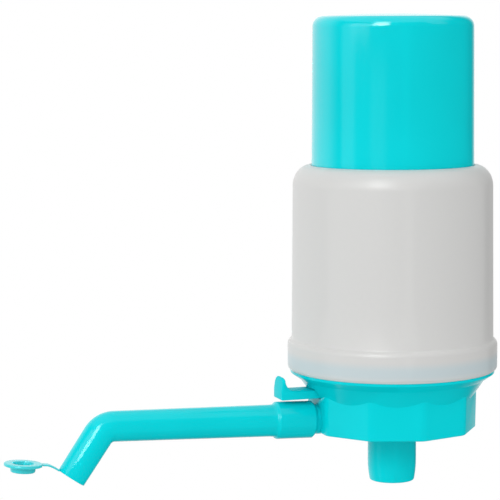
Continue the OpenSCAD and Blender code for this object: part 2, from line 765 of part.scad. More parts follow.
// The strap leaves the mouth's rim, runs to its fold and ends at the stopper's flange
module stopper_strap() {
    fold_z = leg_l + 0.3;
    reach = hinge_x - stopper_r - fit_gap;
    turn = 180 - stopper_open;
    tip = [hinge_x + reach * cos(turn), fold_z + reach * sin(turn)];
    across = strap_t * [sin(turn), -cos(turn)];
    root_r = mouth_r + 0.12;
    color(teal) leg_frame() translate([0, strap_w / 2, 0]) rotate([90, 0, 0]) linear_extrude(strap_w)
        polygon([[root_r, leg_l - strap_t - 0.1], [hinge_x + 0.1, fold_z - strap_t - 0.1], tip + across,
                 tip, [hinge_x, fold_z], [hinge_x - 1.6, leg_l - 0.05], [root_r, leg_l - 0.1]]);
}

push_cap();
inlet_valve();
bellows_lid();
bellows();
bellows_clamp();
housing();
bellows_seat();
outlet_valve();
base();
water_duct();
stem();
stem_seal();
neck_gasket();
neck_grip_ring();
vent_lever();
vent_lever_pin();
vent_plug();
vent_spring();
spout();
spout_seal();
spout_stopper();
stopper_strap();
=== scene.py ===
import math

import bpy
from mathutils import Matrix, Vector


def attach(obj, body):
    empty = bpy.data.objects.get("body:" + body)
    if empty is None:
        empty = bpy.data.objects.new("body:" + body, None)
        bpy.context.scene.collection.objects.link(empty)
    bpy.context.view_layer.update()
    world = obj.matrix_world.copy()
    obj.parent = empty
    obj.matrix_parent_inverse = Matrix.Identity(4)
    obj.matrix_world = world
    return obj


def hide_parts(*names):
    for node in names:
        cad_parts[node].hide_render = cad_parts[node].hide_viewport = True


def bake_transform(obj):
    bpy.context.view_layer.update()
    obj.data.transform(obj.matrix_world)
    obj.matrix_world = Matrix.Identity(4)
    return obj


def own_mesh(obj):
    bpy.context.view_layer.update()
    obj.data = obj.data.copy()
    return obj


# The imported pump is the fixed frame. Lengths in the dictionaries are in millimetres, from the mouth
# of the neck socket, with the spout along -X.
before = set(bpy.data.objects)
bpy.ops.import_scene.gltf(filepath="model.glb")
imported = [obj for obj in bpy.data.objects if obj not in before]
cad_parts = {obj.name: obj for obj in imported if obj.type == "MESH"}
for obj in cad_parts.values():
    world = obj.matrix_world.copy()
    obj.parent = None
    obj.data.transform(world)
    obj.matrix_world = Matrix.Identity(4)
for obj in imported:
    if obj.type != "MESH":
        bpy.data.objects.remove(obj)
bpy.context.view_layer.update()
mm = 0.001
weld = 0.003 * mm
print("frame loaded:", len(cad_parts), "nodes")


def clearSelection():
    if bpy.context.object and bpy.context.object.mode != "OBJECT":
        bpy.ops.object.mode_set(mode="OBJECT")
    bpy.ops.object.select_all(action="DESELECT")


def pick(piece):
    clearSelection()
    piece.select_set(True)
    bpy.context.view_layer.objects.active = piece


def editAll(piece):
    pick(piece)
    bpy.ops.object.mode_set(mode="EDIT")
    bpy.ops.mesh.select_all(action="SELECT")


def settle(piece, name):
    # the place goes into the mesh, so the object sits at the origin
    pick(piece)
    bpy.ops.object.transform_apply(location=True, rotation=True, scale=True)
    piece.name = name
    piece.data.name = name
    return piece


def finishMesh(piece, smooth=32):
    editAll(piece)
    bpy.ops.mesh.remove_doubles(threshold=1e-6)
    bpy.ops.mesh.normals_make_consistent(inside=False)
    bpy.ops.object.mode_set(mode="OBJECT")
    bpy.ops.object.shade_smooth_by_angle(angle=math.radians(smooth))
    return piece


def startRing(name, centre, axis, radius, points):
    clearSelection()
    turn = Vector(axis).to_track_quat("Z", "Y").to_euler()
    bpy.ops.mesh.primitive_circle_add(vertices=points, radius=radius * mm, location=Vector(centre) * mm,
                                      rotation=turn)
    ring = settle(bpy.context.object, name)
    editAll(ring)
    return ring


def nextRing(move, growth, centre):
    # extrudes the selected ring to a new place and size
    bpy.ops.mesh.extrude_region_move(TRANSFORM_OT_translate={"value": Vector(move) * mm})
    if abs(growth - 1) > 1e-6:
        bpy.ops.transform.resize(value=(growth, growth, growth), center_override=Vector(centre) * mm)


def turnShape(name, outline, points, centre=(0, 0, 0), axis=(0, 0, 1)):
    # outline: (radius, distance along the axis). A radius of 0 closes the shape to a point.
    origin, along = Vector(centre), Vector(axis).normalized()
    fromPole = outline[0][0] == 0
    if fromPole:
        outline = outline[1:]
    r, z = outline[0]
    piece = startRing(name, origin + along * z, along, r, points)
    if fromPole:
        bpy.ops.mesh.edge_face_add()
        bpy.ops.mesh.poke()
        bpy.ops.mesh.select_all(action="DESELECT")
        bpy.ops.object.mode_set(mode="OBJECT")
        # the rim is selected again, without the spokes to the pole
        pole = (origin + along * z) * mm
        for edge in piece.data.edges:
            ends = [piece.data.vertices[v].co for v in edge.vertices]
            edge.select = all((end - pole).length > r * mm * 0.9 for end in ends)
        bpy.ops.object.mode_set(mode="EDIT")
    for (r2, z2) in outline[1:]:
        spot = origin + along * z2
        if r2 == 0:
            nextRing(along * (z2 - z), 1, spot)
            bpy.ops.mesh.merge(type="CENTER")
            break
        nextRing(along * (z2 - z), r2 / r, spot)
        r, z = r2, z2
    return finishMesh(piece)


def rod(name, radius, low, high, points, centre=(0, 0, 0), axis=(0, 0, 1)):
    return turnShape(name, [(0, low), (radius, low), (radius, high), (0, high)], points, centre, axis)


def block(name, low, high):
    clearSelection()
    low, high = Vector(low) * mm, Vector(high) * mm
    bpy.ops.mesh.primitive_cube_add(size=1, location=(low + high) / 2)
    cube = bpy.context.object
    cube.scale = high - low
    return settle(cube, name)


def apply(piece, kind, **settings):
    pick(piece)
    modifier = piece.modifiers.new(kind.title(), kind)
    for key, value in settings.items():
        setattr(modifier, key, value)
    bpy.ops.object.modifier_apply(modifier=modifier.name)


def join(piece, tool, how):
    # how is UNION or DIFFERENCE; the tool is used up
    apply(piece, "BOOLEAN", operation=how, object=tool, solver="EXACT")
    bpy.data.objects.remove(tool)
    # hairline cracks and slivers that the cut leaves are welded at once
    editAll(piece)
    bpy.ops.mesh.remove_doubles(threshold=weld)
    bpy.ops.mesh.dissolve_degenerate(threshold=weld)
    bpy.ops.object.mode_set(mode="OBJECT")


def selectNone(kind):
    bpy.ops.object.mode_set(mode="EDIT")
    bpy.ops.mesh.select_mode(type=kind)
    bpy.ops.mesh.select_all(action="DESELECT")
    bpy.ops.object.mode_set(mode="OBJECT")


def selectEdges(piece, test):
    # selects the edges whose two ends pass the test, in millimetres
    selectNone("EDGE")
    points = [vertex.co / mm for vertex in piece.data.vertices]
    for edge in piece.data.edges:
        edge.select = test(points[edge.vertices[0]], points[edge.vertices[1]])
    bpy.ops.object.mode_set(mode="EDIT")


def selectFaces(piece, test):
    # the same for faces, by their middle and normal
    selectNone("FACE")
    for face in piece.data.polygons:
        face.select = test(face.center / mm, face.normal)
    bpy.ops.object.mode_set(mode="EDIT")


def arc(centreR, centreZ, radiusR, radiusZ, start, end, steps):
    angles = [math.radians(start + (end - start) * i / steps) for i in range(steps + 1)]
    return [(centreR + radiusR * math.cos(a), centreZ + radiusZ * math.sin(a)) for a in angles]


class Signal:
    # a socket that can be used in sums
    def __init__(self, finish, socket):
        self.finish = finish
        self.socket = socket

    def sum(self, operation, first, second, clamp=False):
        settings = {"operation": operation, "use_clamp": clamp}
        return self.finish.node("ShaderNodeMath", settings, {0: first, 1: second})

    def __add__(self, other):
        return self.sum("ADD", self, other)

    def __radd__(self, other):
        return self.sum("ADD", other, self)

    def __mul__(self, other):
        return self.sum("MULTIPLY", self, other)

    def __rmul__(self, other):
        return self.sum("MULTIPLY", other, self)

    def clamped(self):
        return self.sum("ADD", self, 0.0, clamp=True)


class Finish:
    # one material, with its nodes
    def __init__(self, name, colour, roughness, specular=0.5):
        self.material = bpy.data.materials.new(name)
        self.material.use_nodes = True
        self.tree = self.material.node_tree
        self.shader = self.tree.nodes["Principled BSDF"]
        self.set("Base Color", (*colour, 1))
        self.set("Roughness", roughness)
        self.set("Specular IOR Level", specular)
        self.place = self.node("ShaderNodeTexCoord", {}, {}, "Object")

    def set(self, name, value):
        self.feed(self.shader.inputs[name], value)

    def feed(self, socket, value):
        if isinstance(value, Signal):
            self.tree.links.new(value.socket, socket)
        else:
            socket.default_value = value

    def node(self, kind, settings, values, output=0):
        made = self.tree.nodes.new(kind)
        for key, value in settings.items():
            setattr(made, key, value)
        for key, value in values.items():
            self.feed(made.inputs[key], value)
        return Signal(self, made.outputs[output])

    def noise(self, scale, detail=3.0, rough=0.5, place=None):
        values = {"Vector": place or self.place, "Scale": scale, "Detail": detail, "Roughness": rough}
        return self.node("ShaderNodeTexNoise", {}, values)

    def stretched(self, turn, scale):
        return self.node("ShaderNodeMapping", {}, {"Vector": self.place, "Rotation": turn, "Scale": scale})

    def span(self, value, low, high, toLow=0.0, toHigh=1.0):
        values = {"Value": value, "From Min": low, "From Max": high, "To Min": toLow, "To Max": toHigh}
        return self.node("ShaderNodeMapRange", {"interpolation_type": "SMOOTHSTEP"}, values)

    def mix(self, factor, first, second):
        # the colour sockets of a Mix node come after its float and vector ones
        made = self.tree.nodes.new("ShaderNodeMix")
        made.data_type = "RGBA"
        self.feed(made.inputs[0], factor)
        for index, colour in ((6, first), (7, second)):
            self.feed(made.inputs[index], colour if isinstance(colour, Signal) else (*colour, 1))
        return Signal(self, made.outputs[2])

    def bump(self, height, distance):
        self.set("Normal", self.node("ShaderNodeBump", {}, {"Height": height, "Distance": distance}))


# noise scales of the plastic, per metre
plastic = {"drift": 18, "mottle": 60, "waves": 70, "marks": 900, "fine": 1500}


def moulded(name, colour, roughness, tone=0.03, grain=0.00002, specular=0.5):
    # injection-moulded plastic: slow drift of the tone, a fine grain, and faint handling marks
    finish = Finish(name, colour, roughness, specular)
    drift = finish.noise(plastic["drift"], 2.0)
    lighter = [min(1.0, c * (1 + tone)) for c in colour]
    darker = [c * (1 - tone) for c in colour]
    finish.set("Base Color", finish.mix(finish.span(drift, 0.3, 0.7), darker, lighter))
    marks = finish.noise(plastic["marks"], 2.0, 0.6, finish.stretched((0.3, 0.2, 0.5), (1, 0.06, 0.25)))
    worn = finish.span(marks, 0.62, 0.76)
    finish.set("Roughness", (roughness - 0.02) + finish.noise(plastic["mottle"], 3.0) * 0.04 + worn * 0.03)
    finish.bump(finish.noise(plastic["fine"], 2.0, 0.6) + finish.noise(plastic["waves"], 1.0) * 0.8, grain)
    return finish


def cover(piece, finish):
    piece.data.materials.clear()
    piece.data.materials.append(finish.material)


def place(piece, body, slot, finish, *nodes):
    cover(piece, finish)
    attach(piece, body)
    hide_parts(*nodes)
    print("made", piece.name)


colours = {
    "turquoise": (0.0, 0.68, 0.74),
    "thin": (0.05, 0.70, 0.75),  # the stopper's, which lets some light through
    "milky": (0.66, 0.66, 0.65),
    # pale: a painted highlight for the housing foot's edge
    "pale": (0.80, 0.80, 0.78),
    # the turquoise spigot, painted as seen through the milky band of the housing
    "paintedSeeThrough": (0.56, 0.645, 0.67),
    "soft": (0.72, 0.72, 0.70),
    "rubber": (0.045, 0.047, 0.05),
    "steel": (0.55, 0.56, 0.58),
}

capFinish = moulded("turquoiseCap", colours["turquoise"], 0.13, specular=0.4)
baseFinish = moulded("turquoiseBase", colours["turquoise"], 0.17, specular=0.14)
leverFinish = moulded("turquoiseLever", colours["turquoise"], 0.4, specular=0.06)
spoutFinish = moulded("turquoiseSpout", colours["turquoise"], 0.15, specular=0.26)
stopperFinish = moulded("turquoiseStopper", colours["thin"], 0.25)
softFinish = moulded("softMilky", colours["soft"], 0.42)
rubberFinish = moulded("rubber", colours["rubber"], 0.62, tone=0.1, grain=0.00005, specular=0.35)

# heights in metres, between which the housing's foot changes its painted light: the painted see-through of
# the spigot and a painted highlight on the foot's edge
paintedBandLight = {"edge": (0.0251, 0.0262), "from": (0.0256, 0.0290), "to": (0.0305, 0.0348), "least": 0.3,
            "uneven": 0.0008}


def milkyHousing():
    finish = moulded("milkyHousing", colours["milky"], 0.36, specular=0.3)
    t = paintedBandLight
    # painted see-through: the turquoise spigot behind the band shows through, strongest at mid height; the
    # foot's edge is a painted highlight, paler than the band
    height = finish.node("ShaderNodeSeparateXYZ", {}, {0: finish.place}, "Z")
    uneven = height + finish.noise(40, 2.0) * t["uneven"]
    seenThrough = finish.span(uneven, *t["to"], 1.0, 0.0) * finish.span(uneven, *t["from"], t["least"], 1.0)
    paintedSeeThrough = finish.mix(seenThrough, colours["milky"], colours["paintedSeeThrough"])
    # a painted highlight along the foot's edge, paler than the band
    edge = finish.span(height, *t["edge"], 1.0, 0.0)
    finish.set("Base Color", finish.mix(edge, paintedSeeThrough, colours["pale"]))
    return finish


def drawnSteel():
    finish = Finish("drawnSteel", colours["steel"], 0.3)
    finish.set("Metallic", 1.0)
    lines = finish.noise(2500, 2.0, 0.6, finish.stretched((0, 0, 0), (1, 0.1, 1)))
    finish.set("Roughness", 0.26 + lines * 0.12)
    finish.bump(finish.noise(3000, 1.0), 0.000005)
    return finish


housingFinish = milkyHousing()
steelFinish = drawnSteel()
print("finishes ready")


cap = {"lowR": 34.7, "lipZ": 112.8, "topR": 34.35, "topZ": 176.9, "dome": 0.9, "round": 4.6, "wall": 1.7,
       "stopR": 37.3, "stopZ": 110.5, "stopT": 1.8}


def makeCap():
    c = cap
    edgeR = c["topR"] - c["round"]
    edgeZ = c["topZ"] - c["dome"] - c["round"]
    outline = [(c["stopR"], c["stopZ"] - c["stopT"]), (c["stopR"], c["stopZ"]),
               (c["lowR"] + 0.25, c["stopZ"]), (c["lowR"], c["stopZ"] + 0.25), (c["lowR"], c["lipZ"])]
    # the wall stays straight and narrows a little towards the top
    outline += [(c["lowR"] + (c["topR"] - c["lowR"]) * i / 4, c["lipZ"] + (edgeZ - c["lipZ"]) * i / 4)
                for i in range(1, 4)]
    outline += arc(edgeR, edgeZ, c["round"], c["round"], 0, 88, 12)
    outline += [(edgeR * (1 - k), edgeZ + c["round"] + c["dome"] * (1 - (1 - k) ** 2))
                for k in (0.15, 0.35, 0.6, 0.85)]
    outline += [(0, c["topZ"])]
    piece = turnShape("pushCap", outline, 160)
    apply(piece, "SOLIDIFY", thickness=c["wall"] * mm, offset=-1, use_even_offset=True)
    return finishMesh(piece)


place(makeCap(), "cap", "push_cap", capFinish, "push_cap")


shell = {"footZ": 24.95, "spigotR": 42.8, "spigotZ": 33.15, "bandR": 45.0, "footRound": 1.9,
         "ledgeZ": 38.6, "ledgeRound": 2.6, "lowR": 43.3, "topR": 42.75, "lipZ": 112.8, "lipR": 35.0,
         "shoulderR": 7.5, "shoulderZ": 8.8, "wall": 1.7}


def makeHousing():
    s = shell
    shoulderZ = s["lipZ"] - s["shoulderZ"]
    shoulderIn = s["topR"] - s["shoulderR"]
    outline = [(s["spigotR"], s["footZ"])]
    outline += arc(s["bandR"] - s["footRound"], s["footZ"] + s["footRound"], s["footRound"],
                   s["footRound"], -86, 0, 8)
    outline += arc(s["bandR"] - s["ledgeRound"], s["ledgeZ"] - s["ledgeRound"], s["ledgeRound"],
                   s["ledgeRound"], 0, 62, 8)
    outline += [(s["lowR"] + 0.12, s["ledgeZ"] - 0.05), (s["lowR"], s["ledgeZ"] + 0.35)]
    outline += [(s["lowR"] + (s["topR"] - s["lowR"]) * k, s["ledgeZ"] + (shoulderZ - s["ledgeZ"]) * k)
                for k in (0.25, 0.5, 0.75)]
    outline += arc(shoulderIn, shoulderZ, s["shoulderR"], s["shoulderZ"], 0, 88, 14)
    # over the lip and down the inside of the wall
    outline += [(s["lipR"] + 0.12, s["lipZ"]), (s["lipR"], s["lipZ"] - 0.15),
                (s["lipR"], s["lipZ"] - s["wall"])]
    outline += arc(shoulderIn, shoulderZ, s["shoulderR"] - s["wall"], s["shoulderZ"] - s["wall"], 85, 0, 8)
    outline += [(s["lowR"] - s["wall"], s["ledgeZ"]), (s["lowR"] - s["wall"], s["spigotZ"]),
                (s["spigotR"], s["spigotZ"]), (s["spigotR"], s["footZ"])]
    return turnShape("housing", outline, 160)


place(makeHousing(), "pump", "housing", housingFinish, "housing")


# the last three are boxes that are cut out, each as its low and high corner
foot = {"sides": 10, "collarR": 36.3, "collarTop": 15.9, "rim": -0.8, "draft": 0.35, "cornerRound": 1.7,
        "rimRound": 0.6, "floorZ": 12.0, "floorTop": 13.9, "socketR": 29.6, "coneLow": (34.4, 13.1),
        "coneTop": (39.6, 20.8), "flangeR": 43.9, "flangeZ": 24.9, "spigotR": 42.6, "spigotZ": 33.1,
        "innerLow": 32.32, "innerTop": 37.0, "spigotBore": 40.6, "spoutZ": 3.9, "spoutRise": 1.5,
        "stubR": 6.4, "stubBore": 4.2, "stubFrom": 30.3, "stubTo": 50.0, "boreFrom": 30.7,
        "bossR": 14.4, "bossLow": 9.5, "bossTop": 13.88, "bossEdge": 0.3, "stemR": 10.55,
        "stemSeatR": 12.7, "stemSeatZ": 12.2, "ventX": 19, "ventR": 1.2, "chimneyR": 2.3,
        "chimneyLow": 12.5, "chimneyTop": 18.2, "airX": 18.2, "airR": 3.7,
        "ductSeat": ((-33.6, -6.3, 13.9), (-29.3, 6.3, 18.5)),
        "webWay": ((-36.0, -4.4, 13.9), (-30.0, 4.4, 23.9)),
        "window": ((-45.0, -5.7, 14.1), (-33.7, 5.7, 18.45))}


def spoutPoint(along):
    # a point on the spout's own line, which rises outwards from the pump's axis
    rise = math.radians(foot["spoutRise"])
    return Vector((-along * math.cos(rise), 0, foot["spoutZ"] + along * math.sin(rise)))


spoutStart = spoutPoint(0)
spoutAxis = (spoutPoint(1) - spoutStart).normalized()


def makeCollar():
    f = foot
    clearSelection()
    bpy.ops.mesh.primitive_cylinder_add(
        vertices=f["sides"], radius=f["collarR"] * mm, depth=(f["collarTop"] - f["rim"]) * mm,
        location=(0, 0, (f["collarTop"] + f["rim"]) / 2 * mm))
    collar = settle(bpy.context.object, "base")
    # the walls lean out a little towards the top
    selectFaces(collar, lambda c, n: n.z > 0.9)
    wider = 1 + f["draft"] / f["collarR"]
    bpy.ops.transform.resize(value=(wider, wider, 1), center_override=(0, 0, 0))
    # upright corners, then the rim underneath
    selectEdges(collar, lambda a, b: abs(a.z - b.z) > 1)
    bpy.ops.mesh.bevel(offset=f["cornerRound"] * mm, segments=8, profile=0.5)
    rim = f["rim"] + 0.01
    selectEdges(collar, lambda a, b: a.z < rim and b.z < rim)
    bpy.ops.mesh.bevel(offset=f["rimRound"] * mm, segments=3, profile=0.5)
    bpy.ops.object.mode_set(mode="OBJECT")
    return collar


def makeBase():
    f = foot
    base = makeCollar()
    flangeR, flangeZ, spigotR, spigotZ = (f[key] for key in ("flangeR", "flangeZ", "spigotR", "spigotZ"))
    coneR, coneZ = f["coneTop"]
    # cone, flange and spigot, then the stub that carries the spout
    upper = [(0, f["coneLow"][1]), f["coneLow"], (coneR, coneZ), (coneR + 0.5, coneZ + 0.45),
             (flangeR - 0.3, flangeZ - 1.25), (flangeR, flangeZ - 0.95), (flangeR, flangeZ + 0.1),
             (flangeR - 0.1, flangeZ + 0.16), (flangeR - 0.6, flangeZ + 0.03), (spigotR, flangeZ),
             (spigotR, spigotZ - 0.4), (spigotR - 0.4, spigotZ), (0, spigotZ)]
    join(base, turnShape("upper", upper, 180), "UNION")
    stub = [(0, f["stubFrom"]), (f["stubR"], f["stubFrom"]), (f["stubR"], f["stubTo"] - 0.4),
            (f["stubR"] - 0.4, f["stubTo"]), (0, f["stubTo"])]
    join(base, turnShape("stub", stub, 64, spoutStart, spoutAxis), "UNION")
    # the room above the floor and the neck's socket below it; cuts end well past what they cut
    works = [(0, f["floorTop"]), (f["innerLow"], f["floorTop"]), (f["innerLow"], f["collarTop"]),
             (f["innerTop"], coneZ), (f["innerTop"], flangeZ), (f["spigotBore"], flangeZ),
             (f["spigotBore"], 40), (0, 40)]
    join(base, turnShape("works", works, 120), "DIFFERENCE")
    join(base, rod("socket", f["socketR"], -5, f["floorZ"], 120), "DIFFERENCE")
    # the boss with the stem's seat, the vent's chimney and the air's way down
    boss = [(0, f["bossLow"]), (f["bossR"] - f["bossEdge"], f["bossLow"]),
            (f["bossR"], f["bossLow"] + f["bossEdge"]), (f["bossR"], f["bossTop"]), (0, f["bossTop"])]
    join(base, turnShape("boss", boss, 96), "UNION")
    join(base, rod("boreForStem", f["stemR"], 5, 20, 96), "DIFFERENCE")
    join(base, rod("seatForStem", f["stemSeatR"], f["stemSeatZ"], 20, 96), "DIFFERENCE")
    vent = (-f["ventX"], 0, 0)
    join(base, rod("chimney", f["chimneyR"], f["chimneyLow"], f["chimneyTop"], 32, vent), "UNION")
    join(base, rod("vent", f["ventR"], 5, 25, 24, vent), "DIFFERENCE")
    join(base, rod("airHole", f["airR"], 5, 25, 48, (f["airX"], 0, 0)), "DIFFERENCE")
    # the water's way out, and room for the water duct and the lever
    join(base, rod("stubBore", f["stubBore"], f["boreFrom"], 60, 48, spoutStart, spoutAxis), "DIFFERENCE")
    for name in ("ductSeat", "webWay", "window"):
        join(base, block(name, *f[name]), "DIFFERENCE")
    return finishMesh(base, 30)


place(makeBase(), "pump", "base", baseFinish, "base")


stem = {"radius": 10.45, "foot": -23.7, "round": 0.8, "narrow": 0.75, "narrowFrom": -15.0, "bore": 6.3,
        "boreTop": 2.3, "through": 4.7, "top": 13.85, "flangeR": 12.6, "flangeZ": 12.25}


def makeStem():
    s = stem
    footR = s["radius"] - s["narrow"]
    depth = s["narrowFrom"] - s["foot"] - s["round"]
    outline = [(s["bore"] + 0.3, s["foot"])]
    outline += arc(footR - s["round"], s["foot"] + s["round"], s["round"], s["round"], -90, 0, 6)
    # the wall swells out from the foot and runs straight higher up
    outline += [(s["radius"] - s["narrow"] * (1 - k) ** 2, s["foot"] + s["round"] + depth * k)
                for k in (0.15, 0.3, 0.45, 0.6, 0.8, 1.0)]
    outline += [(s["radius"], s["flangeZ"]), (s["flangeR"], s["flangeZ"]), (s["flangeR"], s["top"]),
                (s["through"], s["top"]), (s["through"], s["boreTop"]), (s["bore"], s["boreTop"]),
                (s["bore"], s["foot"] + 0.3), (s["bore"] + 0.3, s["foot"])]
    return turnShape("stem", outline, 96)


place(makeStem(), "pump", "base", baseFinish, "stem")


# shoulder: steps further on and radii, where the sleeve runs down to the tube
tube = {"start": 36.3, "lip": 0.12, "chamfer": 1.25, "sleeveR": 7.93, "sleeveEnd": 52.8, "tubeR": 6.77,
        "shoulder": ((0.35, 7.88), (0.3, 7.72), (0.25, 7.45), (0.3, 7.12), (0.5, 6.93), (0.8, 6.83)),
        "shoulderEnd": 0.9, "bendR": 6.42, "bendFrom": 124.1, "bendRadius": 8.0, "bendAngle": 57.2,
        "bendSteps": 16, "leg": 20.6, "mouthR": 6.22, "bore": 5.45, "socketR": 6.45, "socketEnd": 51.0}


def walkOn(here, along, r, steps):
    # steps: (distance further on, new radius); gives back where it got to and the radius there
    for (distance, r2) in steps:
        here = here + along * distance
        nextRing(along * distance, r2 / r, here)
        r = r2
    return here, r


def makeSpout():
    t = tube
    tilt = math.radians(foot["spoutRise"])
    down = math.radians(t["bendAngle"] - foot["spoutRise"])
    bend = math.radians(t["bendAngle"])
    bendStart = spoutPoint(t["bendFrom"])
    bendCentre = bendStart - Vector((math.sin(tilt), 0, math.cos(tilt))) * t["bendRadius"]
    legAxis = Vector((-math.cos(down), 0, -math.sin(down)))
    # sleeve and tube, out to the bend
    here = spoutPoint(t["start"])
    r = t["socketR"] + t["lip"]
    piece = startRing("spout", here, spoutAxis, r, 72)
    straight = t["sleeveEnd"] - t["start"] - t["chamfer"] - t["lip"]
    here, r = walkOn(here, spoutAxis, r, [
        (0, t["socketR"] + 0.3), (t["chamfer"], t["sleeveR"] - 0.08), (t["lip"], t["sleeveR"]),
        (straight, t["sleeveR"]), *t["shoulder"], (t["shoulderEnd"], t["tubeR"])])
    third = (t["bendFrom"] - (here - spoutStart).length) / 3
    taper = t["bendR"] - t["tubeR"]
    here, r = walkOn(here, spoutAxis, r, [(third, t["tubeR"] + taper * k / 3) for k in (1, 2, 3)])
    bpy.ops.mesh.spin(steps=t["bendSteps"], dupli=False, angle=bend, center=bendCentre * mm, axis=(0, 1, 0))
    # the bent end, over its mouth and back up the bore
    here = bendCentre + Vector((-math.sin(down), 0, math.cos(down))) * t["bendRadius"]
    here, r = walkOn(here, legAxis, r, [
        (t["leg"] * 0.5, (t["bendR"] + t["mouthR"]) / 2), (t["leg"] * 0.5 - 0.3, t["mouthR"]),
        (0.2, t["mouthR"] - 0.08), (0.1, t["mouthR"] - 0.28), (0, t["bore"] + 0.2), (-0.2, t["bore"]),
        (-t["leg"] + 0.2, t["bore"])])
    bpy.ops.mesh.spin(steps=t["bendSteps"], dupli=False, angle=-bend, center=bendCentre * mm, axis=(0, 1, 0))
    walkOn(bendStart, spoutAxis, r, [
        (t["socketEnd"] - t["bendFrom"], t["bore"]), (0, t["socketR"]),
        (t["start"] - t["socketEnd"] + 0.1, t["socketR"]), (-0.1, t["socketR"] + t["lip"])])
    return finishMesh(piece)


place(makeSpout(), "spout", "spout", spoutFinish, "spout")


lever = {"width": 10.8, "low": 14.5, "thick": 3.6, "end": 52.1, "tabTop": 23.9, "tabT": 1.9, "rimT": 0.9,
         "hollow": 4.6, "lean": 0.7, "cornerRound": 3.4, "edgeRound": 0.35, "webIn": 34.1, "webOut": 35.5,
         "armW": 8.0, "armLow": 19.6, "armTop": 22.4, "ventX": 19.0, "armPast": 2.4, "plugR": 0.85,
         "pivotX": 30.0, "pivotZ": 20.9, "hubR": 2.6, "hubHalf": 3.9, "pinR": 1.25}


def makeLever():
    v = lever
    half = v["width"] / 2
    top = v["low"] + v["thick"]
    tabIn = -v["end"] + v["tabT"]
    arm = block("ventLever", (-v["end"], -half, v["low"]), (-v["webIn"], half, top))
    # the tab is drawn up out of the arm's end
    editAll(arm)
    bpy.ops.mesh.bisect(plane_co=Vector((tabIn, 0, 0)) * mm, plane_no=(1, 0, 0))
    selectFaces(arm, lambda c, n: n.z > 0.9 and c.x < tabIn)
    rise = (v["lean"] * mm, 0, (v["tabTop"] - top) * mm)
    bpy.ops.mesh.extrude_region_move(TRANSFORM_OT_translate={"value": rise})
    # it thins towards its rim
    rim = ((v["lean"] - v["end"]) * mm, 0, v["tabTop"] * mm)
    bpy.ops.transform.resize(value=(v["rimT"] / v["tabT"], 1, 1), center_override=rim)
    pick(arm)
    bpy.ops.object.mode_set(mode="EDIT")
    bpy.ops.mesh.select_mode(type="VERT")
    bpy.ops.mesh.select_all(action="SELECT")
    bpy.ops.mesh.dissolve_limited(angle_limit=math.radians(1))

    def inCorner(point):
        return abs(point.z - top) < 0.1 and abs(point.x - tabIn) < 0.1

    def onRim(point):
        return point.z > v["tabTop"] - 0.1

    # hollow for the thumb, then the tab's upper corners
    selectEdges(arm, lambda a, b: inCorner(a) and inCorner(b) and abs(a.y - b.y) > 1)
    bpy.ops.mesh.bevel(offset=v["hollow"] * mm, segments=12, profile=0.5)
    selectEdges(arm, lambda a, b: onRim(a) and onRim(b) and abs(a.x - b.x) > 0.5)
    bpy.ops.mesh.bevel(offset=v["cornerRound"] * mm, segments=8, profile=0.5)
    # the two roundings meet in slivers, which are welded before the edges are rounded
    bpy.ops.mesh.select_all(action="SELECT")
    bpy.ops.mesh.remove_doubles(threshold=0.2 * mm)
    bpy.ops.mesh.dissolve_degenerate(threshold=0.02 * mm)
    bpy.ops.object.mode_set(mode="OBJECT")
    apply(arm, "BEVEL", width=v["edgeRound"] * mm, segments=3, limit_method="ANGLE",
          angle_limit=math.radians(40))
    # inside the collar: the web that leads up, the inner arm over the vent and the hub on the pin
    armHalf = v["armW"] / 2
    web = block("web", (-v["webOut"] + 0.05, -armHalf + 0.05, v["low"] + 0.2),
                (-v["webIn"] - 0.3, armHalf - 0.05, v["armTop"] - 0.05))
    inside = block("innerArm", (-v["webOut"], -armHalf, v["armLow"]),
                   (-v["ventX"] + v["armPast"], armHalf, v["armTop"]))
    pivot, across = (-v["pivotX"], 0, v["pivotZ"]), (0, 1, 0)
    hub = rod("hub", v["hubR"], -v["hubHalf"], v["hubHalf"], 40, pivot, across)
    for part in (web, inside, hub):
        join(arm, part, "UNION")
    join(arm, rod("pinBore", v["pinR"], -9, 9, 32, pivot, across), "DIFFERENCE")
    join(arm, rod("plugBore", v["plugR"], 15, 25, 24, (-v["ventX"], 0, 0)), "DIFFERENCE")
    return finishMesh(arm)


place(makeLever(), "lever", "base", leverFinish, "vent_lever")


plug = {"flangeR": 7.95, "flangeT": 1.2, "gap": 0.05, "plugL": 2.4, "plugR": 5.35, "recessR": 4.25,
        "recessDepth": 2.85, "open": 149.5, "hingeX": 10.9, "hingeUp": 0.3, "strapW": 4.0, "strapT": 0.8,
        "rootR": 6.34}


def legPlace(x, z):
    # a point in the bent end's own frame: z runs outwards from the bend, x is its upper, outer side
    t = tube
    bend = math.radians(t["bendAngle"])
    x1, z1 = x + t["bendRadius"], z
    x2 = x1 * math.cos(-bend) + z1 * math.sin(-bend) - t["bendRadius"]
    z2 = -x1 * math.sin(-bend) + z1 * math.cos(-bend) + t["bendFrom"]
    rise = math.radians(foot["spoutRise"])
    up = foot["spoutZ"] + z2 * math.sin(rise) + x2 * math.cos(rise)
    return Vector((-z2 * math.cos(rise) + x2 * math.sin(rise), 0, up))


def openPlace(x, z):
    # the same, carried along by the stopper as it swings open about the strap's fold
    hingeX, hingeZ = plug["hingeX"], tube["leg"] + plug["hingeUp"]
    a = math.radians(plug["open"])
    dx, dz = x - hingeX, z - hingeZ
    return legPlace(hingeX + dx * math.cos(a) + dz * math.sin(a),
                    hingeZ - dx * math.sin(a) + dz * math.cos(a))


